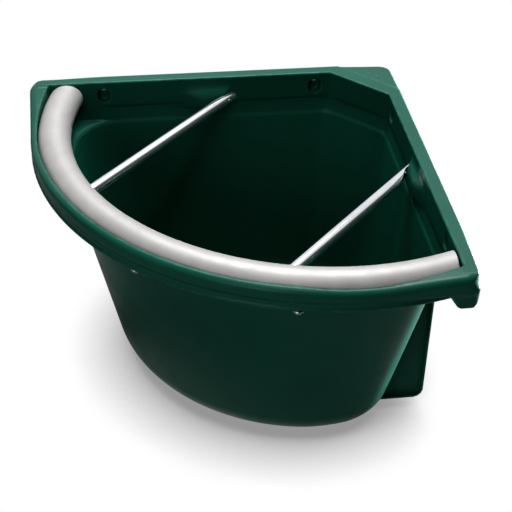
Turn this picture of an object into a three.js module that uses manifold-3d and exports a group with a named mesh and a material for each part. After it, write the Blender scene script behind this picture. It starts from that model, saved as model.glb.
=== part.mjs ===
// Corner feed trough: a moulded bowl that bolts into the corner of a stall,
// with a bent steel guard tube along its front lip and two steel bars across its mouth.
// Millimetres, +Z up. Everything is drawn about the corner: x = 0 and y = 0 are the two wall faces,
// z = 0 is the top of the rim, and the trough fills the quadrant x < 0, y < 0, symmetric about x = y.
// The finished group is then moved so that the origin is the centre of its footprint, at floor level.
import * as THREE from 'three';
import { mergeVertices } from 'three/addons/utils/BufferGeometryUtils.js';
import Module from 'manifold-3d';

const wasm = await Module();
wasm.setup();
const { Manifold, Mesh: SolidMesh } = wasm;

// Overall
const REACH = 562; // along each wall
const GAP = 0.3; // between touching pieces
const ABOVE = 5; // how far a cutter runs past a face
const WALL = 5; // moulded wall thickness
const RING_STEPS = 96; // facets in a full turn of the lip and of the guard tube

// Rim rails that lie against the walls; their wall sides draw in a little towards the ends
const RAIL = { width: 20, height: 50, endRadius: 22, drawIn: 2, drawFrom: 470 };
const CORNER = { chamfer: 117, bandEnd: 80, radius: 16 };
const WEB = { step: 1.6, drop: 4.8, thickness: 5 }; // the thin web between the chamfer and the wall corner
const POCKET = { depth: 14, margin: 6, blockHalf: 18 };

// Guard tube and the lip that holds it
const ARC_CENTRE = 145; // the lip's arc centre is (-ARC_CENTRE, -ARC_CENTRE)
const LIP_RADIUS = REACH - ARC_CENTRE;
const TUBE = { bend: 382.6, radius: 24.15, wall: 2.9, drop: 24.9, endGap: 2.5 };
const GROOVE = TUBE.radius + GAP;
const LIP_TOP = 8; // depth of the lip's top edge below the rim, at the front
const DECK_TOP = TUBE.drop + GROOVE;
const TIP = { length: 150, width: 62, flat: 60, depth: 29, tabWidth: 41, tabDepth: 49 };

// Bowl
const BOWL = {
  centre: 158.5,
  topZ: -50,
  topRadius: 356,
  topSide: 15,
  draft: 0.1544,
  frontDraft: 0.2378,
};
const FLOOR = { z: -386, radius: 79.4 };
const THROAT = { z: -66, side: 6.5 }; // where the rails' slope meets the bowl, and the wall there

// Wall ribs beside the bowl
const RIB = { offset: 370, web: 4, flangeHalf: 11, bottom: -365, reach: 92, cornerRadius: 20 };

// Wall fixings: distance along the wall, height and size of the recess, and height of the bolt hole
const FIXINGS = [
  { along: 120.5, z: -23, width: 18.6, height: 22.8, boltZ: -17 },
  { along: 285.5, z: -60, width: 14, height: 14.1, boltZ: -60 },
  { along: 450, z: -23, width: 18.6, height: 22.8, boltZ: -17 },
];
const FIXING = { recess: 11.5, boltRadius: 4.25 };

// Bars across the mouth
const BAR = { radius: 9, wallX: 254.8, z: -35, slope: 0.0414 };
// The flat ground on a bar's wall end: its distance past the axis, and where its ramp starts and ends
const BAR_FLAT = { past: 1.5, level: 13, end: 39 };
const BAR_SCREW = { inset: 11, seat: 7.5, headRadius: 3.5, head: 1.5, shankRadius: 2, length: 16 };
const BAR_BOSS = { reach: 9, full: 300, far: 345, top: -15, shoulder: -27, bottom: -50 };

// Screws that hold the tube from under the lip
const PADS = { angles: [-135, -102.3, -167.7], tilt: 57, seat: 33.5, radius: 8, rib: 3 };
const TUBE_SCREW = { headRadius: 4.8, head: 3, shankRadius: 2.6, length: 16 };
const WASHER = { radius: 7.2, thickness: 1.5 };

const rad = THREE.MathUtils.degToRad;

// ---- solids -------------------------------------------------------------------------------------

function solid(geometry) {
  const bare = geometry.clone();
  bare.deleteAttribute('normal');
  bare.deleteAttribute('uv');
  const merged = mergeVertices(bare, 1e-4);
  return new Manifold(new SolidMesh({
    numProp: 3,
    vertProperties: new Float32Array(merged.attributes.position.array),
    triVerts: new Uint32Array(merged.index.array),
  }));
}

function surface(body) {
  const { vertProperties, triVerts } = body.getMesh();
  const geometry = new THREE.BufferGeometry();
  geometry.setAttribute('position', new THREE.BufferAttribute(new Float32Array(vertProperties), 3));
  geometry.setIndex(new THREE.BufferAttribute(new Uint32Array(triVerts), 1));
  geometry.computeVertexNormals();
  return geometry;
}

const join = (bodies) => bodies.reduce((all, body) => all.add(body));
const cut = (body, tools) => tools.reduce((rest, tool) => rest.subtract(tool), body);

function block(x0, x1, y0, y1, z0, z1) {
  const box = new THREE.BoxGeometry(x1 - x0, y1 - y0, z1 - z0);
  return solid(box.translate((x0 + x1) / 2, (y0 + y1) / 2, (z0 + z1) / 2));
}

function extruded(points, depth) {
  return new THREE.ExtrudeGeometry(new THREE.Shape(points), { depth, bevelEnabled: false });
}

const vectors = (pairs) => pairs.map(([x, y]) => new THREE.Vector2(x, y));

// A plan outline, extruded from z0 up to z1.
function prism(points, z0, z1) {
  return solid(extruded(points, z1 - z0).translate(0, 0, z0));
}

// A closed (radius, z) profile, counterclockwise, turned about the lip's arc centre.
function turned(profile, segments) {
  const closed = [...profile, profile[0]];
  const geometry = new THREE.LatheGeometry(vectors(closed), segments);
  return solid(geometry.rotateX(Math.PI / 2).translate(-ARC_CENTRE, -ARC_CENTRE, 0));
}

// Sections with equal point counts, joined in order from the top down and capped at both ends.
function loft(sections) {
  const count = sections[0].points.length;
  const positions = sections.flatMap(({ points, z }) => points.flatMap((p) => [p.x, p.y, z]));
  const index = [];
  for (let level = 0; level + 1 < sections.length; level += 1) {
    for (let i = 0; i < count; i += 1) {
      const a = level * count + i;
      const b = level * count + ((i + 1) % count);
      index.push(a, a + count, b, b, a + count, b + count);
    }
  }
  const caps = THREE.ShapeUtils.triangulateShape(sections[0].points, []);
  const last = (sections.length - 1) * count;
  caps.forEach(([a, b, c]) => index.push(a, b, c, last + a, last + c, last + b));
  const geometry = new THREE.BufferGeometry();
  geometry.setAttribute('position', new THREE.Float32BufferAttribute(positions, 3));
  geometry.setIndex(index);
  return solid(geometry);
}

// The same solid on the other wall.
function mirrored(body) {
  return body.mirror([1, -1, 0]);
}

const bothWalls = (body) => body.add(mirrored(body));

// ---- outlines -----------------------------------------------------------------------------------

function arc(cx, cy, radius, from, to, steps) {
  return Array.from({ length: steps + 1 }, (_, i) => {
    const a = rad(from + ((to - from) * i) / steps);
    return new THREE.Vector2(cx + radius * Math.cos(a), cy + radius * Math.sin(a));
  });
}

// A round section of the given radius about the guard tube's centreline.
function ringSection(radius) {
  return arc(TUBE.bend, -TUBE.drop, radius, 0, 360, 24).slice(0, -1).map((p) => [p.x, p.y]);
}

// A quadrant bowl outline: two straight sides, a chamfer across the wall corner,
// and a front arc about (-centre, -centre) joined to the sides by rounded corners.
function outline({ side, chamfer, centre, radius, corner }, frontSteps = 20, cornerSteps = 6) {
  const fx = side + corner;
  const fy = centre + Math.sqrt((radius - corner) ** 2 - (centre - fx) ** 2);
  const turn = THREE.MathUtils.radToDeg(Math.atan2(centre - fy, centre - fx)) + 360;
  const back = 6;
  const kx = side + back;
  const ky = chamfer + Math.SQRT2 * back - kx;
  const front = arc(-centre, -centre, radius, 450 - turn, turn, frontSteps);
  return [
    ...arc(-fx, -fy, corner, turn, 360, cornerSteps),
    ...arc(-kx, -ky, back, 0, 45, 2),
    ...arc(-ky, -kx, back, 45, 90, 2),
    ...arc(-fy, -fx, corner, 90, 450 - turn, cornerSteps),
    ...front.slice(1, -1),
  ];
}

function rimOutline() {
  const r = RAIL.endRadius;
  const inset = r + RAIL.drawIn;
  return [
    ...arc(-CORNER.radius, -CORNER.radius, CORNER.radius, 0, 90, 3),
    new THREE.Vector2(-RAIL.drawFrom, 0),
    ...arc(r - REACH, -inset, r, 90, 180, 6),
    ...arc(-ARC_CENTRE, -ARC_CENTRE, LIP_RADIUS, 180, 270, 40),
    ...arc(-inset, r - REACH, r, 270, 360, 6),
    new THREE.Vector2(0, -RAIL.drawFrom),
  ];
}

// The bowl's outline at one height, moved inward by skin; the floor turns up with a ball radius.
function bowlSection(z, skin, sideSkin = skin) {
  const bend = FLOOR.z + FLOOR.radius;
  const fall = BOWL.topZ - Math.max(z, bend);
  const below = Math.max(0, bend - z);
  const ball = FLOOR.radius - skin;
  const corner = Math.max(2, Math.sqrt(Math.max(0, ball * ball - below * below)));
  const inset = ball - corner;
  const side = BOWL.topSide + BOWL.draft * fall;
  return {
    side: side + sideSkin + inset,
    chamfer: CORNER.chamfer - Math.SQRT2 * (WALL - skin) + Math.SQRT2 * (BOWL.draft * fall + inset),
    centre: BOWL.centre,
    radius: BOWL.topRadius - BOWL.frontDraft * fall - skin - inset,
    corner,
  };
}

function bowlLoft(topZ, skin, sideSkin) {
  const bend = FLOOR.z + FLOOR.radius;
  const ball = FLOOR.radius - skin;
  const turns = [0, 20, 40, 58, 74, 90];
  const levels = [topZ, ...turns.map((angle) => bend - ball * Math.sin(rad(angle)))];
  return loft(levels.map((z) => ({ z, points: outline(bowlSection(z, skin, sideSkin)) })));
}

// ---- moulded trough -----------------------------------------------------------------------------

function rails() {
  const long = block(-RAIL.width, 0, -REACH, 0, -RAIL.height, 0);
  const c = CORNER.chamfer;
  return join([long, mirrored(long), prism(vectors([[0, 0], [-c, 0], [0, -c]]), -RAIL.height, 0)]);
}

// The flat-topped end of the lip beside each wall, with the tab that hangs under it.
function tipBlock() {
  const profile = [
    [0, 0], [-TIP.flat, 0], [-TIP.length, -LIP_TOP - 2], [-TIP.length, -TIP.depth],
    [-TIP.tabWidth, -TIP.depth], [10 - TIP.tabWidth, 4 - TIP.tabDepth], [14 - TIP.tabWidth, -TIP.tabDepth],
    [-6, -TIP.tabDepth], [0, 8 - TIP.tabDepth],
  ];
  return solid(extruded(vectors(profile), TIP.width).rotateX(Math.PI / 2).translate(0, TIP.width - REACH, 0));
}

// The lip: rounded top edge outside the tube, a bead along its foot, and the cradle under the tube.
function lipRing() {
  const outer = LIP_RADIUS;
  const under = DECK_TOP + WALL;
  const profile = [
    [355, -under - 3], [TUBE.bend - 8, -under - 1], [TUBE.bend + 6, -under + 1], [TUBE.bend + 17, -48],
    [outer - 6, -42.5], [outer - 1, -41], [outer, -38.5], [outer - 2, -35.5], [outer - 2, -20],
    [outer - 4, -13], [outer - 7.5, -9], [outer - 10.5, -LIP_TOP], [355, -LIP_TOP],
  ];
  const keep = block(-REACH - ABOVE, 1 - RAIL.width, -REACH - ABOVE, 1 - RAIL.width, -80, ABOVE);
  return turned(profile, RING_STEPS).intersect(keep);
}

function deck() {
  const edge = { side: RAIL.width - 3, chamfer: 113, centre: ARC_CENTRE, radius: TUBE.bend, corner: 4 };
  return prism(outline(edge, 40), -DECK_TOP - WALL, -DECK_TOP + 2);
}

function wallRib() {
  const y = -RIB.offset;
  const web = block(-RIB.reach, 0, y - RIB.web / 2, y + RIB.web / 2, RIB.bottom, -RAIL.height + 2);
  const frame = block(-RIB.reach, 0, y - RIB.flangeHalf, y + RIB.flangeHalf, RIB.bottom, -RAIL.height + 2);
  const r = RIB.cornerRadius;
  const bay = [
    ...arc(-RIB.web - r, RIB.bottom + RIB.web + r, r, 270, 360, 5),
    new THREE.Vector2(-RIB.web, ABOVE),
    new THREE.Vector2(-RIB.reach - ABOVE, ABOVE),
    new THREE.Vector2(-RIB.reach - ABOVE, RIB.bottom + RIB.web),
  ];
  const span = 4 * RIB.flangeHalf;
  const hollow = extruded(bay, span).rotateX(Math.PI / 2).translate(0, y + span / 2, 0);
  return frame.subtract(solid(hollow)).add(web);
}

// A seat for each tube screw, square to the tube's surface, with a rib down to the bowl.
function screwPad(angle) {
  const start = GROOVE - 2;
  const length = PADS.seat - start;
  const post = new THREE.CylinderGeometry(PADS.radius, PADS.radius, length, 20);
  post.translate(0, -start - length / 2, 0);
  const fin = [[370, -52], [TUBE.bend + 16, -50], [TUBE.bend + 12, -56], [370, -78]];
  const finGeometry = extruded(vectors(fin), PADS.rib).rotateX(Math.PI / 2).translate(0, PADS.rib / 2, 0);
  const placed = new THREE.Matrix4().makeTranslation(-ARC_CENTRE, -ARC_CENTRE, 0);
  placed.multiply(new THREE.Matrix4().makeRotationZ(rad(angle)));
  return solid(post.applyMatrix4(tubeScrewFrame(angle))).add(solid(finGeometry.applyMatrix4(placed)));
}

// Local -Y runs outward from the tube's centreline, down and away from the bowl.
function tubeScrewFrame(angle) {
  const frame = new THREE.Matrix4().makeTranslation(-ARC_CENTRE, -ARC_CENTRE, -TUBE.drop);
  frame.multiply(new THREE.Matrix4().makeRotationZ(rad(angle)));
  frame.multiply(new THREE.Matrix4().makeTranslation(TUBE.bend, 0, 0));
  frame.multiply(new THREE.Matrix4().makeRotationX(Math.PI / 2));
  return frame.multiply(new THREE.Matrix4().makeRotationZ(rad(90 - PADS.tilt)));
}

function midFixingBoss() {
  const { along, z, height } = FIXINGS[1];
  return block(-RAIL.width - 1, 0, -along - 14, -along + 14, z - height / 2 - 7, -RAIL.height + 1);
}

// Seat on each wall for a bar's end: its near face lies along the bar's flat, its top slopes
// down and inward, and it fades back into the rail away from the bar.
function barBoss() {
  const inner = RAIL.width - 1;
  const outer = RAIL.width + BAR_BOSS.reach;
  const face = BAR.wallX - RAIL.width + (2 * GAP - BAR_FLAT.past) * Math.SQRT2;
  const { full, far, top, shoulder, bottom } = BAR_BOSS;
  const plan = [[inner, face + inner], [outer, face + outer], [outer, full], [inner, far]];
  const corners = plan.map(([across, along]) => [-across, -along]).reverse();
  const section = vectors([[-outer, bottom], [-inner, bottom], [-inner, top], [-outer, shoulder]]);
  const bar = solid(extruded(section, REACH).rotateX(Math.PI / 2));
  return bar.intersect(prism(vectors(corners), bottom - 1, top + 1));
}

// Room inside the rim: above the deck it is open out to the tube's centreline,
// and above the tube's centre out to the lip, which leaves a groove for the tube.
function rimOpening() {
  const base = { side: RAIL.width, chamfer: CORNER.chamfer, centre: ARC_CENTRE };
  const wide = outline({ ...base, radius: TUBE.bend + GROOVE, corner: 8 }, 40);
  const narrow = outline({ ...base, radius: TUBE.bend, corner: 4 }, 40);
  const top = -DECK_TOP + 1;
  const throatTop = { ...bowlSection(top, WALL), side: RAIL.width, chamfer: CORNER.chamfer };
  const throat = loft([
    { z: top, points: outline(throatTop) },
    { z: THROAT.z, points: outline(bowlSection(THROAT.z, WALL, THROAT.side)) },
  ]);
  return join([prism(wide, -TUBE.drop, ABOVE), prism(narrow, -DECK_TOP, ABOVE - 1), throat]);
}

function grooveCutter() {
  const keep = block(-REACH, -RAIL.width, -REACH, -RAIL.width, -80, ABOVE);
  return turned(ringSection(GROOVE), RING_STEPS).intersect(keep);
}

// An upright slot or a round hole through the rail at one fixing, from inner depth x0 out to x1.
function railHole({ along, width, height }, z, x0, x1) {
  const radius = width / 2;
  const half = height / 2 - radius;
  const ends = [arc(-along, z + half, radius, 0, 180, 8), arc(-along, z - half, radius, 180, 360, 8)];
  const points = half > 0.1 ? ends.flat() : arc(-along, z, radius, 0, 360, 16).slice(0, -1);
  return solid(extruded(points, x1 - x0).rotateX(Math.PI / 2).rotateZ(Math.PI / 2).translate(x0, 0, 0));
}

// A recess on the inside of the rail and a bolt hole through to the wall.
function fixingCutter(fixing) {
  const bolt = { along: fixing.along, width: 2 * FIXING.boltRadius, height: 2 * FIXING.boltRadius };
  const recess = railHole(fixing, fixing.z, -RAIL.width - 15, FIXING.recess - RAIL.width);
  return recess.add(railHole(bolt, fixing.boltZ, -RAIL.width, ABOVE));
}

// Hollows in the back of each rail, between solid blocks at the fixing holes.
function railPockets() {
  const z0 = -RAIL.height + POCKET.margin;
  const [near, mid, far] = FIXINGS.map((f) => f.along);
  const h = POCKET.blockHalf;
  const spans = [[near + h, mid - h], [mid + h, far - h], [far + h, REACH - 45]];
  return join(spans.map(([a, b]) => block(-POCKET.depth, ABOVE, -b, -a, z0, -POCKET.margin)));
}

// The web slopes down from the chamfer band towards the wall corner and is hollow underneath.
function cornerCutters() {
  const edge = CORNER.bandEnd / Math.SQRT2;
  const profile = [[-10, ABOVE], [edge, ABOVE], [edge, -WEB.step], [0, -WEB.drop], [-10, -WEB.drop]];
  const wedge = extruded(vectors(profile.reverse()), 2 * CORNER.bandEnd).translate(0, 0, -CORNER.bandEnd);
  const outward = new THREE.Vector3(-1, -1, 0).normalize();
  const up = new THREE.Vector3(0, 0, 1);
  const sideways = new THREE.Vector3().crossVectors(outward, up);
  const above = solid(wedge.applyMatrix4(new THREE.Matrix4().makeBasis(outward, up, sideways)));
  const size = CORNER.chamfer - Math.SQRT2 * WALL;
  const plan = vectors([[-WALL, -WALL], [WALL - size, -WALL], [-WALL, WALL - size]]);
  return [above, prism(plan, -RAIL.height - ABOVE, -WEB.drop - WEB.thickness)];
}

function screwHoles() {
  const radius = TUBE_SCREW.shankRadius + GAP;
  return PADS.angles.map((angle) => {
    const hole = new THREE.CylinderGeometry(radius, radius, 40, 16);
    return solid(hole.translate(0, -35, 0).applyMatrix4(tubeScrewFrame(angle)));
  });
}

function barScrewHole() {
  const r = BAR_SCREW.shankRadius + GAP;
  const hole = new THREE.CylinderGeometry(r, r, 2 * BAR_SCREW.length, 16);
  return solid(hole.applyMatrix4(barScrewFrame()));
}

function trough() {
  const outside = prism(rimOutline(), FLOOR.z - ABOVE, 0);
  const bowl = bowlLoft(BOWL.topZ + 4, 0, 0);
  const raised = join([
    rails(), lipRing(), deck(), bowl, ...PADS.angles.map(screwPad),
    bothWalls(tipBlock()), bothWalls(wallRib()), bothWalls(midFixingBoss()),
  ]).intersect(outside);
  const cavity = bowlLoft(THROAT.z + 0.5, WALL, THROAT.side);
  const hollowed = cut(raised, [cavity, rimOpening(), grooveCutter(), ...cornerCutters()]);
  const fixings = FIXINGS.map(fixingCutter).map(bothWalls);
  return cut(hollowed.add(bothWalls(barBoss())), [
    ...fixings, bothWalls(railPockets()), ...screwHoles(), bothWalls(barScrewHole()),
  ]);
}

// ---- steel pieces -------------------------------------------------------------------------------

// Bent pipe, cut off square to the walls at both ends.
function guardTube() {
  const pipe = (radius) => turned(ringSection(radius), RING_STEPS);
  const end = RAIL.width + TUBE.endGap;
  const keep = block(-REACH, -end, -REACH, -end, -80, ABOVE);
  return cut(pipe(TUBE.radius).intersect(keep), [pipe(TUBE.radius - TUBE.wall), ...screwHoles()]);
}

// Local +X runs from the wall towards the guard tube, +Z is up.
function barFrame() {
  const frame = new THREE.Matrix4().makeTranslation(-RAIL.width, -BAR.wallX, BAR.z);
  frame.multiply(new THREE.Matrix4().makeRotationZ(rad(225)));
  return frame.multiply(new THREE.Matrix4().makeRotationY(Math.atan(BAR.slope)));
}

// Local Y runs square to the bar, through the flat at its wall end.
function barScrewFrame() {
  return barFrame().multiply(new THREE.Matrix4().makeTranslation(BAR_SCREW.inset, 0, 0));
}

// What the flat takes off a bar's wall end, on its local +Y side.
function barFlatCutter() {
  const { past, level, end } = BAR_FLAT;
  const r = BAR.radius;
  const plan = [[-40, -past], [level, -past], [end, r], [end, 2 * r], [-40, 2 * r]];
  return prism(vectors(plan), -2 * r, 2 * r).transform(barFrame().elements);
}

// A seat in the bar's round side for the screw's head to bear on.
function spotFace() {
  const depth = BAR.radius;
  const tool = new THREE.CylinderGeometry(BAR_SCREW.headRadius + GAP, BAR_SCREW.headRadius + GAP, depth, 20);
  return solid(tool.translate(0, -BAR_SCREW.seat - depth / 2, 0).applyMatrix4(barScrewFrame()));
}

function bar() {
  const rod = new THREE.CylinderGeometry(BAR.radius, BAR.radius, REACH, 32).rotateZ(Math.PI / 2);
  const body = solid(rod.translate(REACH / 2 - 30, 0, 0).applyMatrix4(barFrame()));
  const wallEnd = block(-RAIL.width - GAP, 100, -REACH, 100, -150, 50);
  const tubeClear = turned(ringSection(GROOVE), RING_STEPS);
  const within = arc(-ARC_CENTRE, -ARC_CENTRE, TUBE.bend - 17, 0, 360, RING_STEPS).slice(0, -1);
  return cut(body.intersect(prism(within, -150, 50)), [
    wallEnd, tubeClear, barFlatCutter(), spotFace(), barScrewHole(),
  ]);
}

// A pan-head screw along local -Y: the underside of its head is at y = -seat.
function screw({ headRadius, head, shankRadius, length }, seat, matrix) {
  const profile = [
    [0, seat - length], [shankRadius * 0.5, seat - length], [shankRadius, seat - length + 2.5],
    [shankRadius, seat], [headRadius, seat], [headRadius, seat + head * 0.45],
    [headRadius * 0.72, seat + head * 0.9], [0, seat + head],
  ];
  const body = new THREE.LatheGeometry(vectors(profile), 20);
  const slotWidth = headRadius * 0.32;
  const slot = new THREE.BoxGeometry(headRadius * 1.2, head, slotWidth).translate(0, seat + head, 0);
  const cross = slot.clone().rotateY(Math.PI / 2);
  const flip = new THREE.Matrix4().makeRotationX(Math.PI);
  return cut(solid(body), [solid(slot), solid(cross)]).transform(matrix.clone().multiply(flip).elements);
}

function washer(seat, matrix) {
  const inner = TUBE_SCREW.shankRadius + GAP;
  const top = seat + WASHER.thickness;
  const profile = [[inner, seat], [WASHER.radius, seat], [WASHER.radius, top], [inner, top], [inner, seat]];
  const ring = new THREE.LatheGeometry(vectors(profile), 24);
  const flip = new THREE.Matrix4().makeRotationX(Math.PI);
  return solid(ring).transform(matrix.clone().multiply(flip).elements);
}

// The bar screw goes in from the bar's round side, which faces the wall corner.
function barScrew() {
  return screw(BAR_SCREW, BAR_SCREW.seat + GAP, barScrewFrame());
}

function tubeScrew(angle) {
  return screw(TUBE_SCREW, PADS.seat + WASHER.thickness + 2 * GAP, tubeScrewFrame(angle));
}

// ---- materials and assembly ---------------------------------------------------------------------

const plastic = () => new THREE.MeshStandardMaterial({ color: 0x1d5a4c, roughness: 0.38, metalness: 0 });
const galvanised = () => new THREE.MeshStandardMaterial({ color: 0xb7b5b3, roughness: 0.42, metalness: 0.3 });
const polished = () => new THREE.MeshStandardMaterial({ color: 0xe8eaee, roughness: 0.12, metalness: 0.85 });
const zinc = () => new THREE.MeshStandardMaterial({ color: 0xb9bcc0, roughness: 0.3, metalness: 0.9 });

const model = new THREE.Group();
const corner = new THREE.Group();
corner.position.set(REACH / 2, REACH / 2, -FLOOR.z);
model.add(corner);

function place(name, body, material) {
  const mesh = new THREE.Mesh(surface(body), material);
  mesh.name = name;
  corner.add(mesh);
}

place('trough_body', trough(), plastic());
place('guard_tube', guardTube(), galvanised());
place('waste_bar_right', bar(), polished());
place('waste_bar_left', mirrored(bar()), polished());
place('bar_screw_right', barScrew(), zinc());
place('bar_screw_left', mirrored(barScrew()), zinc());
['centre', 'right', 'left'].forEach((side, i) => {
  const frame = tubeScrewFrame(PADS.angles[i]);
  place(`tube_washer_${side}`, washer(PADS.seat + GAP, frame), zinc());
  place(`tube_screw_${side}`, tubeScrew(PADS.angles[i]), zinc());
});

export default model;
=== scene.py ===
"""Corner feed trough: moulded plastic bowl, bent guard tube, two anti-waste bars and their screws."""
import math

import bmesh
import bpy
import numpy as np
from mathutils import Matrix, Vector


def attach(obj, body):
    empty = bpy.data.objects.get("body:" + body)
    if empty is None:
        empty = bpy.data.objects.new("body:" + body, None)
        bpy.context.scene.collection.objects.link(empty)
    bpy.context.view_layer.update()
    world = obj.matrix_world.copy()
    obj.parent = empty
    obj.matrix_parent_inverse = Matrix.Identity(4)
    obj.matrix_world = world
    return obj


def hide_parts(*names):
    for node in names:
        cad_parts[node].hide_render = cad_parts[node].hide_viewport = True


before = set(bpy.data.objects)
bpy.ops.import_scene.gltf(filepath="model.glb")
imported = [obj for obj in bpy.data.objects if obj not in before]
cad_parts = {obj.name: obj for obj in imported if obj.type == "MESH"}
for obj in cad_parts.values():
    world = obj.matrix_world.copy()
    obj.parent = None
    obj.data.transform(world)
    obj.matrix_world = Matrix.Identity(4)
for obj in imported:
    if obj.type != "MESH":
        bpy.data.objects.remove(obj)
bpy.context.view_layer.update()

# ---- driving sizes ----------------------------------------------------------------------------------
# Millimetres about the wall corner: the walls are x = 0 and y = 0, and the rim is z = 0.

REACH = 562.0
DEPTH = 386.0
SHIFT = np.array([REACH / 2, REACH / 2, DEPTH])  # from the corner to the row's frame
MM = 0.001

RAIL_W, RAIL_H = 20.0, 50.0
ARC_C, LIP_R = 145.0, 417.0
TUBE_BEND, TUBE_R, TUBE_WALL, TUBE_Z, TUBE_END = 382.6, 24.15, 2.9, -24.9, 22.5
GROOVE_R = TUBE_R + 0.3
BAND_IN, BAND_OUT = 117.0 / math.sqrt(2), 80.0 / math.sqrt(2)  # chamfer band, from the wall corner
CORNER_R, TIP_R, TAB_TIP_R = 16.0, 22.0, 12.0
POCKETS, POCKET_Z, POCKET_DEPTH = ((138.5, 267.5), (303.5, 432.0), (468.0, 517.0)), (-44, -6), 14.0
WEB_STEP, WEB_DROP, WEB_T = 1.6, 4.8, 5.0
SKIN = 6.0
BOWL_C, BOWL_RHO = 158.5, 79.4
BOWL_SIDE, BOWL_FRONT = 15.0, 356.2  # the bowl's walls at the foot of the rail
SIDE_DRAFT, FRONT_DRAFT = 0.1544, 0.2378
FLOOR_Z = -385.9
BAR_R, BAR_X, BAR_Z, BAR_SLOPE = 9.0, 254.8, -35.0, 0.0414
FLAT_PAST, FLAT_LEVEL, FLAT_END = 1.5, 13.0, 39.0  # the flat ground on each bar's wall end
BAR_SCREW_AT, BAR_SCREW_SEAT = 11.0, 7.5
PAD_ANGLES, PAD_TILT, PAD_SEAT, PAD_R = (-135.0, -102.3, -167.7), 57.0, 33.5, 8.0
# each fixing: distance along the wall, recess height, radius and straight half, and the bolt hole's height
FIXINGS = (
    (120.5, -23.0, 9.3, 2.1, -17.0),
    (285.5, -60.0, 7.0, 0.0, -60.0),
    (450.0, -23.0, 9.3, 2.1, -17.0),
)
BOLT_R = 4.3
TAB_SECTION = [(41, -29.4), (31, -44.7), (28.3, -47.4), (25, -49), (8, -49), (2, -43), (0.5, -38), (0.5, -20),
               (41, -20)]
# screws: head radius, head height, shank radius and length
BAR_SCREW = (3.5, 1.5, 2.0, 16.0)
TUBE_SCREW = (4.8, 3.0, 2.6, 16.0)
WASHER_BORE, WASHER_R, WASHER_T, WASHER_EDGE = 2.95, 7.2, 1.5, 0.25
FIT_GAP = 0.3  # between a fastener and its seat
PITCH, DRAFT_PITCH = 2.5, 4.0  # grid of the moulding's mesh


# ---- signed distance of the moulding --------------------------------------------------------------

def r_and(a, b, r):
    """Intersection with its edge rounded to radius r."""
    return np.minimum(np.maximum(a, b), -r) + np.hypot(np.maximum(a + r, 0), np.maximum(b + r, 0))


def r_or(a, b, r):
    """Union with its crease filled to radius r."""
    return -r_and(-a, -b, r)


def step(x, lo, hi):
    """Smooth 0 to 1 as x goes from lo to hi."""
    t = np.clip((x - lo) / (hi - lo), 0, 1)
    return t * t * (3 - 2 * t)


def slab(x, lo, hi):
    """Distance to the layer from lo to hi."""
    return np.abs(x - (lo + hi) / 2) - (hi - lo) / 2


def convex(x, z, corners):
    """Distance to a convex polygon given clockwise as (x, z) corners."""
    d = np.full_like(x, -1e9)
    for (x0, z0), (x1, z1) in zip(corners, corners[1:] + corners[:1]):
        n = math.hypot(x1 - x0, z1 - z0)
        d = np.maximum(d, ((x - x0) * (z0 - z1) + (z - z0) * (x1 - x0)) / n)
    return d


def lip_top(a):
    """Height of the lip's top edge, a degrees round from the middle of the front."""
    return -7.5 - 3.5 * step(a, 30, 43) + 11.0 * step(a, 45, 64)


def bowl(w, u, z):
    """The outside of the bowl, without the rim."""
    fall = -RAIL_H - z
    side = BOWL_SIDE + SIDE_DRAFT * fall
    rad = BOWL_FRONT - FRONT_DRAFT * fall
    fx = side + BOWL_RHO
    fy = BOWL_C + np.sqrt(np.maximum((rad - BOWL_RHO) ** 2 - (BOWL_C - fx) ** 2, 1))
    ex, ey = (fx - BOWL_C) / (rad - BOWL_RHO), (fy - BOWL_C) / (rad - BOWL_RHO)
    qx, qy = w - fx, u - fy
    b = qy / ey
    a = b * ex - qx
    plain = np.maximum(side - w, np.hypot(w - BOWL_C, u - BOWL_C) - rad)
    d = np.where((a > 0) & (b > 0), np.hypot(qx, qy) - BOWL_RHO, plain)
    chamfer = (110.0 + math.sqrt(2) * SIDE_DRAFT * fall - w - u) / math.sqrt(2)
    d = r_and(d, chamfer, CORNER_R) * 0.985
    ball = 65.0 - 10.0 * step(w, 90, 200)
    return r_and(d, FLOOR_Z - z, ball)


def web_top(cs):
    """The web slopes from the chamfer band down to the wall corner."""
    return -WEB_DROP + (WEB_DROP - WEB_STEP) * cs / BAND_OUT


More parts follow.
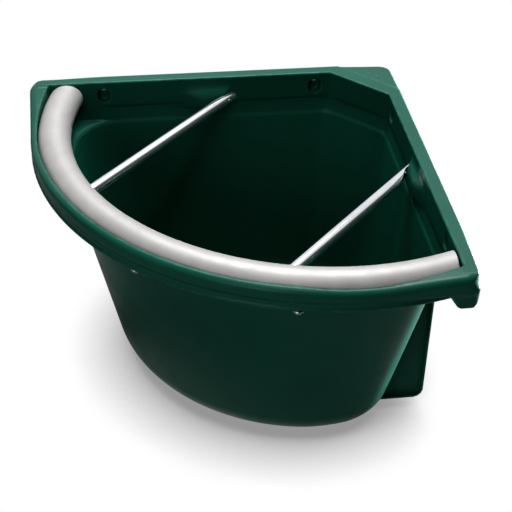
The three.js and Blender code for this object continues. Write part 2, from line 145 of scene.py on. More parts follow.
def rim_solid(w, u, z, r, a, cs):
    """Rails, corner web, upper lip and the tab under each rail's end."""
    reach = np.hypot(np.maximum(w - ARC_C, 0), np.maximum(u - ARC_C, 0)) - LIP_R
    reach = reach + 0.9 * step(-z, 23.5, 26.0)
    lower = step(-z, 8, 24)
    behind = (2.0 - 1.5 * lower) * step(u, 470, 540) - w
    plan = np.maximum(r_and(reach, behind, TIP_R + (TAB_TIP_R - TIP_R) * lower), r_and(-w, -u, CORNER_R))
    soft = 1.8 + 1.7 * step(u, 430, 490)
    edge = soft + (10.0 - soft) * step(reach, -30, -8) * step(w, 2, 16)
    top = lip_top(a)
    upper = r_and(plan, z - top, edge)
    upper = r_and(upper, -29.0 - z, 2.0)
    rail = r_and(r_and(np.maximum(plan, u - 552), w - RAIL_W - 9, 0.5), -RAIL_H - z, 1.5)
    rail = r_and(rail, z, soft)
    band = r_and(np.maximum(plan, cs - BAND_IN - 8), -RAIL_H - z, 1.5)
    band = r_and(band, z, 1.8)
    recess = r_and(cs - BAND_OUT, web_top(cs) - z, 0.6)
    under = r_and(np.maximum(cs - BAND_IN + SKIN, SKIN - w), z + WEB_DROP + WEB_T, 1.5)
    tip = r_and(reach, 0.5 - w, TAB_TIP_R)
    tab = r_and(r_and(convex(w, z, TAB_SECTION), slab(u, 500, REACH - 1), 2.5), tip, 2.0)
    solid = r_or(np.minimum(np.minimum(upper, rail), band), tab, 2.0)
    solid = r_and(solid, -recess, 1.5)
    solid = r_and(solid, -under, 1.5)
    pip = np.sqrt((w - 26) ** 2 + (u - 36) ** 2 + (z - web_top(cs)) ** 2) - 1.8
    return r_or(solid, pip, 1.0)


def ring_solid(w, r, a, z):
    """The lower half of the lip: a plain ring with a bead along its foot, turned about the lip's centre."""
    under_1 = (r - 413.0) * 0.479 - (z + 41.0) * 0.878
    under_2 = (r - 402.0) * 0.356 - (z + 47.0) * 0.934
    ring = np.maximum(r_and(r - 415.4, under_1, 2.0), under_2)
    ring = np.maximum(ring, z + 18.0)
    bead = np.hypot(r - 414.4, z + 38.9) - 2.7
    foot = -56.0 - 14.0 * np.maximum(step(a, 44, 56), step(-r, -383, -369))
    deck = np.maximum(r_and(r - 376.0, foot - z, 3.0), z + 45.0)
    return np.maximum(r_or(r_or(ring, bead, 1.5), deck, 3.0), 12.0 - w)


def rib_solid(w, u, z):
    """Stiffening rib between the bowl and the wall, with a flange along its wall and bottom edges."""
    outer = r_and(-w, -365.0 - z, 15.0)
    panel = np.maximum(outer, slab(u, 368, 372))
    flange = r_and(np.maximum(outer, -outer - 4.0), slab(u, 359, 381), 1.2)
    rib = r_or(panel, flange, 7.0)
    return np.maximum(np.maximum(rib, w - 110.0), z + 46.0)


def pad_solid(w, u, z):
    """Half-round seats under the lip for the tube screws, each with a fin down to the bowl."""
    d = np.full_like(w, 1e3)
    for turn in (45.0, 77.7):
        c, s = math.cos(math.radians(turn)), math.sin(math.radians(turn))
        rr = (w - ARC_C) * c + (u - ARC_C) * s
        tt = (u - ARC_C) * c - (w - ARC_C) * s
        ct, st = math.cos(math.radians(PAD_TILT)), math.sin(math.radians(PAD_TILT))
        along = (rr - TUBE_BEND) * ct - (z - TUBE_Z) * st
        across = np.hypot((rr - TUBE_BEND) * st + (z - TUBE_Z) * ct, tt)
        post = r_and(across - PAD_R, slab(along, 20.0, PAD_SEAT), 1.2)
        fin = convex(rr, z, [(398.6, -50), (394.6, -57), (370, -80), (366, -80), (366, -48)])
        fin = r_and(fin, np.abs(tt) - 1.6, 0.8)
        d = np.minimum(d, r_or(post, fin, 2.0))
    return d


def opening(w, u, z, r, cs):
    """Everything open inside the rim: pocket above the tube, its groove, and the mouth of the bowl."""
    side = np.maximum(RAIL_W - w, BAND_IN - cs) + 3.2 * step(-z, 46, 67)
    deck = -49.35 - 14.65 * step(-r, -378, -360)
    wide = r_and(np.maximum(side, r - TUBE_BEND - GROOVE_R), TUBE_Z - z, 0.1)
    narrow = r_and(np.maximum(side, r - TUBE_BEND), deck - z, 1.2)
    groove = np.maximum(np.hypot(r - TUBE_BEND, z - TUBE_Z) - GROOVE_R, side)
    inner = np.maximum(bowl(w, u, z) + SKIN, z + 46.0)
    throat = r_or(narrow, inner, 7.0)
    return np.minimum(np.minimum(wide, groove), throat)


def boss_solid(w, u, z):
    """Seat for a bar's end: its near face lies along the bar's flat, and it fades back into the rail."""
    start = BAR_X - RAIL_W + (0.6 - FLAT_PAST) * math.sqrt(2)
    fade = 1.0 - step(u, 292, 348)
    out = RAIL_W - 3.0 + 12.0 * fade
    sloped = (z + 15.0 + 1.333 * (w - RAIL_W)) * 0.6 + 3.0 * (1.0 - fade)
    body = r_and(r_and(w - out, sloped, 5.0), -50.0 - z, 3.0)
    body = r_and(body, (start + w - u) / math.sqrt(2), 3.0)
    return np.maximum(np.maximum(body, 14.0 - w), u - 349.0)


def holes(w, u, z):
    """Each wall fixing is a recess on the inside of the rail and a bolt hole behind it."""
    d = np.full_like(w, 1e3)
    for along, height, rad, half, bolt_z in FIXINGS:
        recess = np.hypot(u - along, np.maximum(np.abs(z - height) - half, 0)) - rad
        recess = np.maximum(r_and(recess, 8.5 - w, 1.5), w - 60.0)
        bolt = np.maximum(np.hypot(u - along, z - bolt_z) - BOLT_R, w - 12.0)
        d = np.minimum(d, np.minimum(recess, bolt))
    return d


def rail_pockets(w, u, z):
    """Hollows in the wall side of the rails."""
    d = np.full_like(w, 1e3)
    for span in POCKETS:
        d = np.minimum(d, np.maximum(slab(u, *span), slab(z, *POCKET_Z)))
    return r_and(d, w - POCKET_DEPTH, 2.0)


def moulding(p):
    """Signed distance of the whole moulding at points p, in millimetres about the wall corner."""
    x, y, z = p[:, 0], p[:, 1], p[:, 2]
    w, u = np.minimum(-x, -y), np.maximum(-x, -y)  # depth from the nearer wall, distance along it
    r = np.hypot(w - ARC_C, u - ARC_C)
    a = np.degrees(np.arctan2(u - ARC_C, w - ARC_C)) - 45.0
    cs = (w + u) / math.sqrt(2)
    shell = r_or(bowl(w, u, z), rib_solid(w, u, z), 3.0)
    shell = np.maximum(shell, z + 44.0)
    rim = np.minimum(rim_solid(w, u, z, r, a, cs), ring_solid(w, r, a, z))
    mid = r_and(np.maximum(slab(u, 271.5, 299.5), slab(w, 0, 22)), slab(z, -74, -45), 2.0)
    solid = r_or(r_or(rim, shell, 5.0), mid, 1.5)
    solid = r_or(solid, pad_solid(w, u, z), 1.5)
    body = r_and(solid, -opening(w, u, z, r, cs), 2.4)
    body = r_or(body, boss_solid(w, u, z), 3.0)
    body = r_and(body, -holes(w, u, z), 0.9)
    return np.maximum(r_and(body, -rail_pockets(w, u, z), 1.0), -w)


# ---- surface of the moulding ------------------------------------------------------------------------

def sample(h):
    """Distances on a grid of pitch h. Only blocks near the surface are sampled finely."""
    block = 8
    lo = np.array([-REACH, -REACH, FLOOR_Z]) - 2.4 * h
    size = np.array([REACH, REACH, -FLOOR_Z]) + 4.8 * h
    blocks = np.ceil(size / (h * block)).astype(int)
    mid = [lo[i] + (np.arange(blocks[i]) + 0.5) * h * block for i in range(3)]
    centres = np.stack(np.meshgrid(*mid, indexing="ij"), -1).reshape(-1, 3)
    coarse = moulding(centres).reshape(blocks)
    near = np.abs(coarse) < h * block * 1.25
    for axis in range(3):
        coarse = np.repeat(coarse, block, axis)
        near = np.repeat(near, block, axis)
    grown = near.copy()
    for axis in range(3):
        grown |= np.roll(grown, 1, axis)
    at = np.argwhere(grown)
    values = coarse.copy()
    for part in np.array_split(at, max(1, len(at) // 400000)):
        values[tuple(part.T)] = moulding(lo + part * h)
    return values, lo


def surface_net(values, lo, h):
    """Vertices in the cells the surface crosses, and a quad for each grid edge it crosses."""
    inside = values < 0
    nx, ny, nz = np.array(values.shape) - 1
    corner = [(i, j, k) for i in (0, 1) for j in (0, 1) for k in (0, 1)]
    count = sum(inside[i:nx + i, j:ny + j, k:nz + k].astype(np.int8) for i, j, k in corner)
    cells = np.argwhere((count > 0) & (count < 8))
    index = np.full((nx, ny, nz), -1, np.int64)
    index[tuple(cells.T)] = np.arange(len(cells))
    total, hits = np.zeros((len(cells), 3)), np.zeros(len(cells))
    for a in corner:
        for axis in range(3):
            if a[axis]:
                continue
            b = list(a)
            b[axis] = 1
            va = values[tuple((cells + a).T)]
            vb = values[tuple((cells + b).T)]
            cross = (va < 0) != (vb < 0)
            t = np.where(cross, va / np.where(cross, va - vb, 1), 0)
            point = cells + np.array(a, float)
            point[:, axis] += t
            total += point * cross[:, None]
            hits += cross
    verts = lo + total / hits[:, None] * h
    quads = []
    cell_counts = (nx, ny, nz)
    for axis in range(3):
        b, c = (axis + 1) % 3, (axis + 2) % 3
        low = inside[tuple(slice(i != axis, n) for i, n in enumerate(cell_counts))]
        high = inside[tuple(slice(1, n + (i == axis)) for i, n in enumerate(cell_counts))]
        at = np.argwhere(low != high)
        out = low[tuple(at.T)]
        at[:, b] += 1
        at[:, c] += 1
        ring = []
        for db, dc in ((-1, -1), (0, -1), (0, 0), (-1, 0)):
            cell = at.copy()
            cell[:, b] += db
            cell[:, c] += dc
            ring.append(index[tuple(cell.T)])
        quad = np.stack(ring, 1)
        quads.append(np.where(out[:, None], quad, quad[:, ::-1]))
    return verts, np.concatenate(quads)


def slope(p, e=0.25):
    """Gradient of the distance by central differences."""
    g = np.empty_like(p)
    for axis in range(3):
        d = np.zeros(3)
        d[axis] = e
        g[:, axis] = (moulding(p + d) - moulding(p - d)) / (2 * e)
    return g


def to_surface(p, rounds=2):
    """Points moved on to the surface by Newton steps, and the surface normals there."""
    for _ in range(rounds):
        g = slope(p)
        move = moulding(p) / np.maximum((g * g).sum(1), 0.2)
        p = p - np.clip(move, -2, 2)[:, None] * g
    g = slope(p)
    return p, g / np.linalg.norm(g, axis=1)[:, None]


# ---- mesh helpers -----------------------------------------------------------------------------------

def to_frame(points):
    return (np.asarray(points, float) + SHIFT) * MM


def new_mesh(name, verts, faces, normals=None):
    me = bpy.data.meshes.new(name)
    faces = np.asarray(faces)
    me.vertices.add(len(verts))
    me.vertices.foreach_set("co", np.asarray(verts, np.float32).ravel())
    n = faces.shape[1]
    me.loops.add(faces.size)
    me.loops.foreach_set("vertex_index", faces.astype(np.int32).ravel())
    me.polygons.add(len(faces))
    me.polygons.foreach_set("loop_start", np.arange(0, faces.size, n, dtype=np.int32))
    me.update(calc_edges=True)
    me.validate()
    me.shade_smooth()
    if normals is not None:
        me.normals_split_custom_set_from_vertices(normals.tolist())
    ob = bpy.data.objects.new(name, me)
    bpy.context.scene.collection.objects.link(ob)
    return ob


def loft(name, rings, cap=True, closed=True):
    """Rings of equal length, first to last, joined by quads; the ends are closed with fans."""
    rings = np.asarray(rings, float)
    m, n = rings.shape[:2]
    verts = rings.reshape(-1, 3)
    i, j = np.meshgrid(np.arange(m - 1), np.arange(n if closed else n - 1), indexing="ij")
    a = i * n + j
    b = i * n + (j + 1) % n
    faces = np.stack([a, b, b + n, a + n], -1).reshape(-1, 4)
    bm = bmesh.new()
    vs = [bm.verts.new(v) for v in verts]
    for f in faces:
        bm.faces.new([vs[k] for k in f])
    if cap:
        bm.faces.new([vs[k] for k in range(n)][::-1])
        bm.faces.new([vs[(m - 1) * n + k] for k in range(n)])
    bmesh.ops.recalc_face_normals(bm, faces=bm.faces)
    me = bpy.data.meshes.new(name)
    bm.to_mesh(me)
    bm.free()
    me.shade_smooth()
    ob = bpy.data.objects.new(name, me)
    bpy.context.scene.collection.objects.link(ob)
    return ob


def weld(ob):
    """Merge the doubled vertices where a loft closes on itself."""
    bm = bmesh.new()
    bm.from_mesh(ob.data)
    bmesh.ops.remove_doubles(bm, verts=bm.verts, dist=1e-6)
    bmesh.ops.recalc_face_normals(bm, faces=bm.faces)
    bm.to_mesh(ob.data)
    bm.free()


def sharpen(ob, angle=35.0):
    ob.data.shade_smooth()
    mod = ob.modifiers.new("edges", "EDGE_SPLIT")
    mod.split_angle = math.radians(angle)


def finish_piece(ob, material, node):
    ob.data.materials.clear()
    ob.data.materials.append(material)
    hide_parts(node)
    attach(ob, "root")
    return ob


# ---- materials --------------------------------------------------------------------------------------

class Nodes:
    """Short names for building a material's node tree."""

    def __init__(self, name):
        self.mat = bpy.data.materials.new(name)
        self.mat.use_nodes = True
        self.tree = self.mat.node_tree
        self.tree.nodes.clear()
        self.out = self.tree.nodes.new("ShaderNodeOutputMaterial")
        self.bsdf = self.tree.nodes.new("ShaderNodeBsdfPrincipled")
        self.tree.links.new(self.bsdf.outputs[0], self.out.inputs[0])
        self.coord = self.tree.nodes.new("ShaderNodeTexCoord").outputs["Object"]

    def link(self, a, b):
        self.tree.links.new(a, b)

    def noise(self, scale, detail=3.0, rough=0.5, stretch=None):
        n = self.tree.nodes.new("ShaderNodeTexNoise")
        n.inputs["Scale"].default_value = scale
        n.inputs["Detail"].default_value = detail
        n.inputs["Roughness"].default_value = rough
        source = self.coord
        if stretch:
            m = self.tree.nodes.new("ShaderNodeMapping")
            m.inputs["Scale"].default_value = stretch
            self.link(source, m.inputs[0])
            source = m.outputs[0]
        self.link(source, n.inputs["Vector"])
        return n.outputs["Fac"]

    def ramp(self, fac, stops):
        n = self.tree.nodes.new("ShaderNodeValToRGB")
        ramp = n.color_ramp
        while len(ramp.elements) < len(stops):
            ramp.elements.new(0.5)
        for e, (pos, col) in zip(ramp.elements, stops):
            e.position = pos
            e.color = (*col, 1.0) if isinstance(col, tuple) else (col, col, col, 1.0)
        self.link(fac, n.inputs[0])
        return n.outputs[0]

    def span(self, fac, lo, hi, a, b):
        n = self.tree.nodes.new("ShaderNodeMapRange")
        for key, value in (("From Min", lo), ("From Max", hi), ("To Min", a), ("To Max", b)):
            n.inputs[key].default_value = value
        self.link(fac, n.inputs[0])
        return n.outputs[0]

    def mix(self, fac, a, b):
        n = self.tree.nodes.new("ShaderNodeMix")
        n.data_type = "RGBA"
        for socket, value in ((n.inputs["Factor"], fac), (n.inputs[6], a), (n.inputs[7], b)):
            if isinstance(value, bpy.types.NodeSocket):
                self.link(value, socket)
            elif isinstance(value, tuple):
                socket.default_value = (*value, 1.0)
            else:
                socket.default_value = value
        return n.outputs[2]

    def maths(self, op, a, b):
        n = self.tree.nodes.new("ShaderNodeMath")
        n.operation = op
        for socket, value in zip(n.inputs, (a, b)):
            if isinstance(value, bpy.types.NodeSocket):
                self.link(value, socket)
            else:
                socket.default_value = value
        return n.outputs[0]

    def bump(self, height, distance, strength=1.0, normal=None):
        n = self.tree.nodes.new("ShaderNodeBump")
        n.inputs["Strength"].default_value = strength
        n.inputs["Distance"].default_value = distance
        self.link(height, n.inputs["Height"])
        if normal is not None:
            self.link(normal, n.inputs["Normal"])
        return n.outputs[0]

    def pointiness(self):
        return self.tree.nodes.new("ShaderNodeNewGeometry").outputs["Pointiness"]

    def set(self, **values):
        for key, value in values.items():
            socket = self.bsdf.inputs[key.replace("_", " ")]
            if isinstance(value, bpy.types.NodeSocket):
                self.link(value, socket)
            elif isinstance(value, tuple) and len(value) == 3:
                socket.default_value = (*value, 1.0)
            else:
                socket.default_value = value


def plastic():
    m = Nodes("moulded_green")
    cloud = m.noise(5.0, 4.0)
    base = m.ramp(cloud, [(0.3, (0.009, 0.082, 0.058)), (0.7, (0.012, 0.100, 0.071))])
    worn = m.span(m.pointiness(), 0.515, 0.56, 0.0, 0.35)
    patches = m.span(m.noise(60.0), 0.4, 0.65, 0.0, 1.0)
    base = m.mix(m.maths("MULTIPLY", worn, patches), base, (0.05, 0.25, 0.19))
    rough = m.span(m.noise(22.0, 5.0), 0.3, 0.7, 0.32, 0.42)
    fine = m.bump(m.noise(420.0, 2.0), 0.0001, 0.35)
    m.set(Base_Color=base, Roughness=rough, Normal=m.bump(m.noise(28.0, 3.0), 0.0004, 0.18, fine))
    m.set(IOR=1.5, Specular_IOR_Level=0.2)
    return m.mat


def galvanised():
    m = Nodes("galvanised_satin")
    spangle = m.noise(34.0, 6.0, 0.6)
    base = m.ramp(spangle, [(0.3, (0.42, 0.408, 0.40)), (0.7, (0.49, 0.478, 0.47))])
    rough = m.span(m.noise(60.0, 4.0), 0.3, 0.7, 0.44, 0.54)
    m.set(Base_Color=base, Roughness=rough, Normal=m.bump(m.noise(300.0, 3.0), 0.0001, 0.12), Metallic=0.22)
    return m.mat


def polished():
    m = Nodes("polished_steel")
    base = m.ramp(m.noise(20.0), [(0.35, (0.78, 0.82, 0.86)), (0.65, (0.85, 0.88, 0.91))])
    rough = m.span(m.noise(90.0, 4.0), 0.3, 0.7, 0.06, 0.12)
    m.set(Base_Color=base, Roughness=rough, Normal=m.bump(m.noise(500.0), 0.00003, 0.1), Metallic=0.93)
    return m.mat


def zinc():
    m = Nodes("bright_zinc")
    base = m.ramp(m.noise(80.0), [(0.3, (0.40, 0.41, 0.42)), (0.7, (0.56, 0.56, 0.55))])
    rough = m.span(m.noise(300.0, 4.0), 0.3, 0.7, 0.22, 0.38)
    m.set(Base_Color=base, Roughness=rough, Normal=m.bump(m.noise(900.0), 0.00005, 0.2), Metallic=1.0)
    return m.mat


# ---- pieces -----------------------------------------------------------------------------------------

def trough_body():
    h = PITCH
    values, lo = sample(h)
    verts, quads = surface_net(values, lo, h)
    verts, normals = to_surface(verts)
    return new_mesh("trough_moulding", to_frame(verts), quads, normals)


def guard_tube():
    """Bent pipe whose ends are cut parallel to the rails, with softened end edges."""
    around, along = 72, 220
    soft = 0.8
    inner_r = TUBE_R - TUBE_WALL

    def ring(radius, t, inset):
        pts = []
        for k in range(around):
            f = 2 * math.pi * k / around
            rho = TUBE_BEND + radius * math.cos(f)
            end = math.acos((ARC_C - TUBE_END - inset) / rho)
            lo = 1.5 * math.pi + (math.pi / 2 - end)
            hi = math.pi - (math.pi / 2 - end)
            th = hi + (lo - hi) * t
            x, y = -ARC_C + rho * math.cos(th), -ARC_C + rho * math.sin(th)
            pts.append((x, y, TUBE_Z + radius * math.sin(f)))
        return pts

    def wall(radius, start, stop):
        return [ring(radius, t, soft if t in (0.0, 1.0) else 0.0) for t in np.linspace(start, stop, along)]

    rings = wall(TUBE_R, 0, 1)
    rings += [ring(TUBE_R - soft, 1, 0.0), ring(inner_r + soft, 1, 0.0)]
    rings += wall(inner_r, 1, 0)
    rings += [ring(inner_r + soft, 0, 0.0), ring(TUBE_R - soft, 0, 0.0), rings[0]]
    ob = loft("guard_tube_pipe", to_frame(np.array(rings)), cap=False)
    weld(ob)
    sharpen(ob, 40)
    return ob


def bar_matrix():
    m = Matrix.Translation((-RAIL_W, -BAR_X, BAR_Z)) @ Matrix.Rotation(math.radians(225), 4, "Z")
    return m @ Matrix.Rotation(math.atan(BAR_SLOPE), 4, "Y")


def place(points, matrix, mirror=False):
    p = np.asarray(points, float)
    m = np.array(matrix)
    q = p @ m[:3, :3].T + m[:3, 3]
    if mirror:
        q = q[..., [1, 0, 2]]
    return to_frame(q)


def bar_rings():
    """Sections of the rod from the wall, where one side is ground flat, to the guard tube."""
    n = 96
    near = np.concatenate([np.arange(1.5, 45.0, 1.0), np.linspace(46, bar_length(), 40)])
    rings = []
    for i, x in enumerate(np.concatenate([[0.0], near])):
        ramp = min(max((x - FLAT_LEVEL) / (FLAT_END - FLAT_LEVEL), 0.0), 1.0)
        flat = -FLAT_PAST + (BAR_R + FLAT_PAST) * ramp
        seat = BAR_SCREW_SEAT if abs(x - BAR_SCREW_AT) < 4.3 else BAR_R
        f = np.linspace(0, 2 * math.pi, n, endpoint=False)
        z = np.cos(f) * BAR_R
        y = np.clip(np.sin(f) * BAR_R, -seat, flat)
        xs = y + 0.8 if i == 0 else np.full(n, x)
        rings.append(np.stack([xs, y, z], 1))
    return rings


def bar_length():
    """From the rail to the guard tube's near surface, along the bar."""
    m = np.array(bar_matrix())
    for x in np.arange(150.0, 400.0, 0.5):
        p = m[:3, :3] @ np.array([x, 0, 0]) + m[:3, 3]
        if math.hypot(p[0] + ARC_C, p[1] + ARC_C) > TUBE_BEND - 15.0:
            return float(x)
    return 300.0


def waste_bar(side):
    """The rod, with its front end coped: each point there stops short of the tube's surface."""
    rings = bar_rings()
    end = rings[-1]
    m = np.array(bar_matrix())
    coped = []
    for q in end:
        x = q[0]
        while x > 100:
            p = m[:3, :3] @ np.array([x, q[1], q[2]]) + m[:3, 3]
            d = math.hypot(math.hypot(p[0] + ARC_C, p[1] + ARC_C) - TUBE_BEND, p[2] - TUBE_Z) - TUBE_R
            if d > 0.35:
                break
            x -= 0.25
        coped.append((x, q[1], q[2]))
    shortest = min(c[0] for c in coped)
    keep = [r for r in rings[:-1] if r[0][0] < shortest - 3]
    rings = np.array(keep + [np.array(coped)])
    ob = loft(f"waste_bar_{side}_rod", place(rings, bar_matrix(), side == "left"))
    sharpen(ob, 40)
    return ob


def lathe(name, profile, matrix, mirror=False, n=48):
    """Profile of (radius, y) turned about local Y, then placed."""
    rings = []
    for k in range(n):
        a = 2 * math.pi * k / n
        rings.append([(r * math.cos(a), y, r * math.sin(a)) for r, y in profile])
    rings.append(rings[0])
    pts = place(np.array(rings), matrix, mirror)
    ob = loft(name, pts, cap=False, closed=False)
    weld(ob)
    return ob


def screw(name, matrix, seat, head_r, head_h, shank_r, length, mirror=False):
    """Pan head with a cross recess and a ridged shank; the head is on the local -Y side."""
    thread = []
    y = seat - length + 2.5
    while y < seat - 0.6:
        thread += [(shank_r, y), (shank_r - 0.35, y + 0.4)]
        y += 0.8
    dome = head_h - 0.5
    crown = [(head_r * math.cos(a), seat + 0.5 + dome * math.sin(a)) for a in np.linspace(0, 1.45, 10)]
    profile = [(0, seat - length), (shank_r * 0.4, seat - length)] + thread
    profile += [(shank_r, seat), (head_r - 0.3, seat), (head_r, seat + 0.3)] + crown + [(0, seat + head_h)]
    flipped = [(r, -y) for r, y in profile]
    ob = lathe(name, flipped, matrix, mirror)
    cutters = []
    for turn in (0.0, math.pi / 2):
        half = np.array([head_r * 0.62, 1.1, head_r * 0.13])
        corners = np.array([(i, j, k) for i in (-1, 1) for j in (-1, 1) for k in (-1, 1)]) * half
        rot = np.array(Matrix.Rotation(turn, 3, "Y"))
        corners = corners @ rot.T + np.array([0, -(seat + head_h), 0])
        bm = bmesh.new()
        for c in place(corners, matrix, mirror):
            bm.verts.new(c)
        bmesh.ops.convex_hull(bm, input=bm.verts)
        bmesh.ops.recalc_face_normals(bm, faces=bm.faces)
        me = bpy.data.meshes.new("cut")
        bm.to_mesh(me)
        bm.free()
        cut = bpy.data.objects.new("cut", me)
        bpy.context.scene.collection.objects.link(cut)
        cutters.append(cut)
    for cut in cutters:
        mod = ob.modifiers.new("recess", "BOOLEAN")
        mod.operation = "DIFFERENCE"
        mod.object = cut
        mod.solver = "EXACT"
    apply_modifiers(ob)
    for cut in cutters:
        bpy.data.objects.remove(cut)
    sharpen(ob, 35)
    return ob


def apply_modifiers(ob):
    deps = bpy.context.evaluated_depsgraph_get()
    me = bpy.data.meshes.new_from_object(ob.evaluated_get(deps))
    ob.modifiers.clear()
    ob.data = me


def tube_screw_matrix(angle):
    m = Matrix.Translation((-ARC_C, -ARC_C, TUBE_Z)) @ Matrix.Rotation(math.radians(angle), 4, "Z")
    m = m @ Matrix.Translation((TUBE_BEND, 0, 0)) @ Matrix.Rotation(math.pi / 2, 4, "X")
    return m @ Matrix.Rotation(math.radians(90 - PAD_TILT), 4, "Z")


def washer(name, matrix, seat):
    r0, r1, t, e = WASHER_BORE, WASHER_R, WASHER_T, WASHER_EDGE
    profile = [(r0, seat), (r1 - e, seat), (r1, seat + e), (r1, seat + t - e)]
    profile += [(r1 - e, seat + t), (r0 + e, seat + t), (r0, seat + t - e), (r0, seat)]
    ob = lathe(name, [(r, -y) for r, y in profile], matrix)
    sharpen(ob, 35)
    return ob


GREEN, GALV, BRIGHT, ZINC = plastic(), galvanised(), polished(), zinc()
finish_piece(trough_body(), GREEN, "trough_body")
finish_piece(guard_tube(), GALV, "guard_tube")
for side in ("right", "left"):
    finish_piece(waste_bar(side), BRIGHT, f"waste_bar_{side}")
    at = bar_matrix() @ Matrix.Translation((BAR_SCREW_AT, 0, 0))
    ob = screw(f"bar_screw_{side}_head", at, BAR_SCREW_SEAT + FIT_GAP, *BAR_SCREW, side == "left")
    finish_piece(ob, ZINC, f"bar_screw_{side}")
for angle, side in zip(PAD_ANGLES, ("centre", "right", "left")):
    at = tube_screw_matrix(angle)
    ob = washer(f"tube_washer_{side}_disc", at, PAD_SEAT + FIT_GAP)
    finish_piece(ob, ZINC, f"tube_washer_{side}")
    ob = screw(f"tube_screw_{side}_head", at, PAD_SEAT + WASHER_T + 2 * FIT_GAP, *TUBE_SCREW)
    finish_piece(ob, ZINC, f"tube_screw_{side}")

# ---- floor, light, camera -----------------------------------------------------------------------------

SKY_SEEN, SKY_REFLECTED, SKY_LIGHT = 1.0, 0.85, 0.03  # a white backdrop round a dim room
SKY_DARK = 0.04  # what reflections see of the room in front of and below the object
FLOOR_BOUNCE, FLOOR_GLOW = 0.2, 0.15  # its grey, and its glow on to dull surfaces
FLOOR_NEAR, FLOOR_FAR = 0.4, 0.03  # its glow in reflections, by the object and away from it
CONTACT_REACH, CONTACT_DARK = 0.2, 0.3  # the soft shadow round the foot of the object

bm = bmesh.new()
bmesh.ops.create_grid(bm, x_segments=1, y_segments=1, size=12)
floor_mesh = bpy.data.meshes.new("floor")
bm.to_mesh(floor_mesh)
bm.free()
floor = bpy.data.objects.new("floor", floor_mesh)
floor.location = (0, 0, -0.0005)
bpy.context.scene.collection.objects.link(floor)


def floor_white():
    """White where the camera sees it, with a soft contact shadow; a dim bounce for every other ray."""
    m = Nodes("floor_white")
    shade = m.tree.nodes.new("ShaderNodeAmbientOcclusion")
    shade.samples = 32
    shade.inputs["Distance"].default_value = CONTACT_REACH
    seen = m.tree.nodes.new("ShaderNodeEmission")
    m.link(m.span(shade.outputs["AO"], 0.36, 0.75, CONTACT_DARK, 1.0), seen.inputs["Strength"])
    m.set(Base_Color=(FLOOR_BOUNCE,) * 3, Roughness=1.0, Specular_IOR_Level=0.0)
    path = m.tree.nodes.new("ShaderNodeLightPath")
    away = m.tree.nodes.new("ShaderNodeVectorMath")
    away.operation = "LENGTH"
    m.link(m.coord, away.inputs[0])
    reflected = m.span(away.outputs["Value"], 0.1, 0.24, FLOOR_NEAR, FLOOR_FAR)
    glow = m.maths("MAXIMUM", m.maths("MULTIPLY", reflected, path.outputs["Is Glossy Ray"]),
                   m.maths("MULTIPLY", FLOOR_GLOW, path.outputs["Is Diffuse Ray"]))
    m.set(Emission_Color=(1.0, 1.0, 1.0), Emission_Strength=glow)
    pick = m.tree.nodes.new("ShaderNodeMixShader")
    m.link(path.outputs["Is Camera Ray"], pick.inputs[0])
    m.link(m.bsdf.outputs[0], pick.inputs[1])
    m.link(seen.outputs[0], pick.inputs[2])
    m.link(pick.outputs[0], m.out.inputs[0])
    return m.mat


floor.data.materials.append(floor_white())


def area(name, location, target, size, power, shine=1.0):
    light = bpy.data.lights.new(name, "AREA")
    light.shape = "RECTANGLE"
    light.size, light.size_y = size
    light.energy = power
    light.specular_factor = shine
    ob = bpy.data.objects.new(name, light)
    ob.location = location
    ob.rotation_euler = (Vector(target) - Vector(location)).to_track_quat("-Z", "Y").to_euler()
    bpy.context.scene.collection.objects.link(ob)


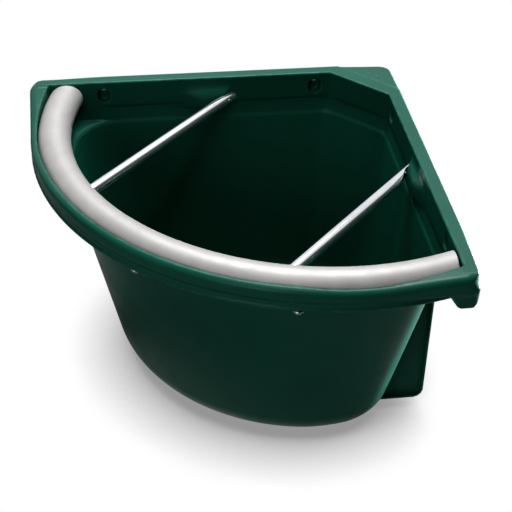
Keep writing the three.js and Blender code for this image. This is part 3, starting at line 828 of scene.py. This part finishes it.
def studio_world():
    """White to the camera, dim as a light; reflections see it bright only towards the upper back."""
    world = bpy.data.worlds.new("studio")
    world.use_nodes = True
    tree = world.node_tree
    background = tree.nodes["Background"]
    background.inputs["Color"].default_value = (1, 1, 1, 1)
    path = tree.nodes.new("ShaderNodeLightPath")
    direction = tree.nodes.new("ShaderNodeVectorMath")
    direction.operation = "DOT_PRODUCT"
    direction.inputs[1].default_value = (0.0, 0.866, 0.5)
    tree.links.new(tree.nodes.new("ShaderNodeTexCoord").outputs["Generated"], direction.inputs[0])
    sky = tree.nodes.new("ShaderNodeMapRange")
    spans = {"From Min": 0.3, "From Max": 0.55, "To Min": SKY_DARK, "To Max": SKY_REFLECTED}
    for key, value in spans.items():
        sky.inputs[key].default_value = value
    tree.links.new(direction.outputs["Value"], sky.inputs[0])
    seen = tree.nodes.new("ShaderNodeMath")
    seen.operation = "MULTIPLY"
    tree.links.new(path.outputs["Is Glossy Ray"], seen.inputs[0])
    tree.links.new(sky.outputs[0], seen.inputs[1])
    level = seen.outputs[0]
    for source, scale in ((path.outputs["Is Camera Ray"], SKY_SEEN), (None, SKY_LIGHT)):
        larger = tree.nodes.new("ShaderNodeMath")
        larger.operation = "MAXIMUM"
        larger.inputs[1].default_value = scale
        if source:
            tree.links.new(source, larger.inputs[1])
        tree.links.new(level, larger.inputs[0])
        level = larger.outputs[0]
    tree.links.new(level, background.inputs["Strength"])
    return world


area("softbox_above", (0.2, 0.9, 2.7), (0, 0, 0.3), (1.4, 1.6), 88)
area("softbox_front", (-1.2, -2.2, 1.3), (0, 0, 0.3), (0.8, 0.8), 11)
area("spot_top_front", (-0.3, -1.0, 2.6), (0, 0, 0.3), (0.4, 0.4), 7)
area("softbox_left", (-2.4, -0.8, 0.6), (0, 0, 0.3), (1.2, 1.0), 2)
area("strip_right", (1.8, 0.8, 0.12), (0.1, -0.1, 0.2), (0.4, 0.4), 300, 0.1)
bpy.context.scene.world = studio_world()
view = bpy.context.scene.view_settings
view.view_transform = "Standard"
view.use_curve_mapping = True
curve = view.curve_mapping.curves[3]
for level, shown in ((0.012, 0.005), (0.06, 0.045), (0.25, 0.25)):
    curve.points.new(level, shown)
view.curve_mapping.update()

CAMERA_AT = (-486.44, -1813.68, 995.62)
CAMERA_RIGHT = (0.988, -0.1547, 0.0)
CAMERA_UP = (0.0921, 0.5881, 0.8035)
CAMERA_BACK = (-0.1243, -0.7939, 0.5953)
CAMERA_ROLL, LENS = 1.75, 92.857
right, up, back = Vector(CAMERA_RIGHT), Vector(CAMERA_UP), Vector(CAMERA_BACK)
roll = math.radians(CAMERA_ROLL)
right, up = right * math.cos(roll) + up * math.sin(roll), up * math.cos(roll) - right * math.sin(roll)
camera = bpy.data.objects.new("camera", bpy.data.cameras.new("camera"))
camera.data.lens = LENS
camera.data.sensor_width = 36
turn = Matrix((right, up, back)).transposed().to_4x4()
camera.matrix_world = Matrix.Translation(to_frame(CAMERA_AT)) @ turn
bpy.context.scene.collection.objects.link(camera)
bpy.context.scene.camera = camera
